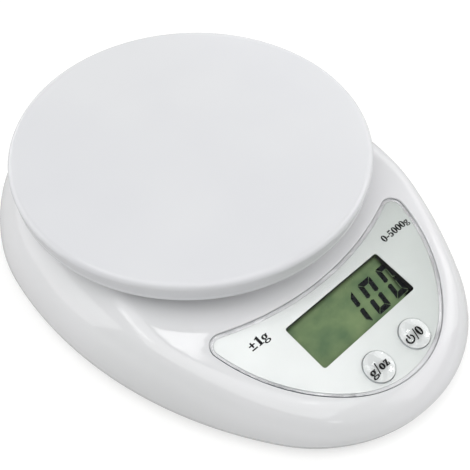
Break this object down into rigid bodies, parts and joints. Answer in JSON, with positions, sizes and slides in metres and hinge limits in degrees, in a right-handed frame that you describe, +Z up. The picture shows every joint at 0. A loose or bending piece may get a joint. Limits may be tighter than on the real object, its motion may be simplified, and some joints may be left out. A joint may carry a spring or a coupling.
{
  "type": "digital kitchen scale",
  "caption": "Low egg-shaped kitchen scale with a round lift-off platter, a sloping crescent panel with a display window and domed buttons, and a battery door underneath.",
  "frame": {"origin": "on the table under the middle of the housing, at the height of the feet's undersides", "axes": "+Y from the display towards the rear, +Z up, +X to the right of someone who reads the display"},
  "size_m": [0.1688, 0.224, 0.05],
  "materials": {
    "shell_plastic": "glossy white moulded plastic",
    "platter_plastic": "satin white moulded plastic",
    "inner_plastic": "plain off-white moulded plastic",
    "clear_cover": "clear polished plastic",
    "silver_film": "silver printed film",
    "black_plastic": "black moulded plastic",
    "display_glass": "grey-green display glass",
    "reflector_foil": "matt reflector foil",
    "connector_rubber": "layered conductive rubber",
    "board_laminate": "green lacquered laminate",
    "chip_epoxy": "black epoxy drop",
    "component_ceramic": "ceramic and moulded parts",
    "screw_steel": "zinc-plated steel",
    "plate_steel": "zinc-plated sheet steel",
    "cell_aluminium": "milled aluminium",
    "white_sealant": "white silicone sealant",
    "foot_rubber": "dark grey rubber",
    "pad_rubber": "grey rubber",
    "wire_red": "red insulation",
    "wire_black": "black insulation",
    "wire_green": "green insulation",
    "wire_white": "white insulation",
    "battery_sleeve": "printed sleeve on a steel can",
    "contact_nickel": "nickel-plated spring steel",
    "button_plastic": "clear polished plastic"
  },
  "bodies": {
    "housing": {"lower_shell": "shell_plastic", "upper_shell": "shell_plastic", "panel_cover": "clear_cover", "panel_film": "silver_film", "lcd_frame": "black_plastic", "lcd_glass": "display_glass", "lcd_reflector": "reflector_foil", "lcd_connectors": "connector_rubber", "circuit_board": "board_laminate", "chip_blob": "chip_epoxy", "board_components": "component_ceramic", "switch_unit": "black_plastic", "switch_power": "black_plastic", "board_screws": "screw_steel", "shell_screws": "screw_steel", "load_cell": "cell_aluminium", "strain_gauges": "white_sealant", "load_cell_spacer_fixed": "plate_steel", "load_cell_screws_fixed": "screw_steel", "gauge_wire_red": "wire_red", "gauge_wire_black": "wire_black", "gauge_wire_green": "wire_green", "gauge_wire_white": "wire_white", "foot_front_left": "foot_rubber", "foot_front_right": "foot_rubber", "foot_rear_left": "foot_rubber", "foot_rear_right": "foot_rubber", "battery_cell_rear": "battery_sleeve", "battery_cell_front": "battery_sleeve", "battery_spring_link": "contact_nickel", "battery_spring_negative": "contact_nickel", "battery_contact_link": "contact_nickel", "battery_contact_positive": "contact_nickel", "battery_contact_negative": "contact_nickel", "battery_wire_red": "wire_red", "battery_wire_black": "wire_black"},
    "platform": {"load_cell_spacer_free": "plate_steel", "load_cell_screws_free": "screw_steel", "bracket_plate": "plate_steel", "hub_post": "inner_plastic", "hub_screws": "screw_steel", "platter_carrier": "inner_plastic", "carrier_screw": "screw_steel", "carrier_pads": "pad_rubber"},
    "platter": {"weighing_platter": "platter_plastic"},
    "unit_button": {"button_unit": "button_plastic", "plunger_unit": "black_plastic"},
    "power_button": {"button_power": "button_plastic", "plunger_power": "black_plastic"},
    "door": {"battery_door": "shell_plastic"}
  },
  "joints": [
    {"name": "load_travel", "type": "slide", "parent": "housing", "child": "platform", "axis": [0, 0, -1], "range_m": [0, 0.0004], "stiffness_N_per_m": 122500, "deforming": ["load_cell"]},
    {"name": "platter_lift", "type": "slide", "parent": "platform", "child": "platter", "axis": [0, 0, 1], "range_m": [0, 0.03]},
    {"name": "unit_press", "type": "slide", "parent": "housing", "child": "unit_button", "axis": [0, 0.1736, -0.9848], "range_m": [0, 0.0005], "stiffness_N_per_m": 3000},
    {"name": "power_press", "type": "slide", "parent": "housing", "child": "power_button", "axis": [0, 0.1736, -0.9848], "range_m": [0, 0.0005], "stiffness_N_per_m": 3000},
    {"name": "door_hinge", "type": "hinge", "parent": "housing", "child": "door", "pos_m": [0, -0.0376, 0.0015], "axis": [-1, 0, 0], "range_deg": [0, 75]}
  ]
}
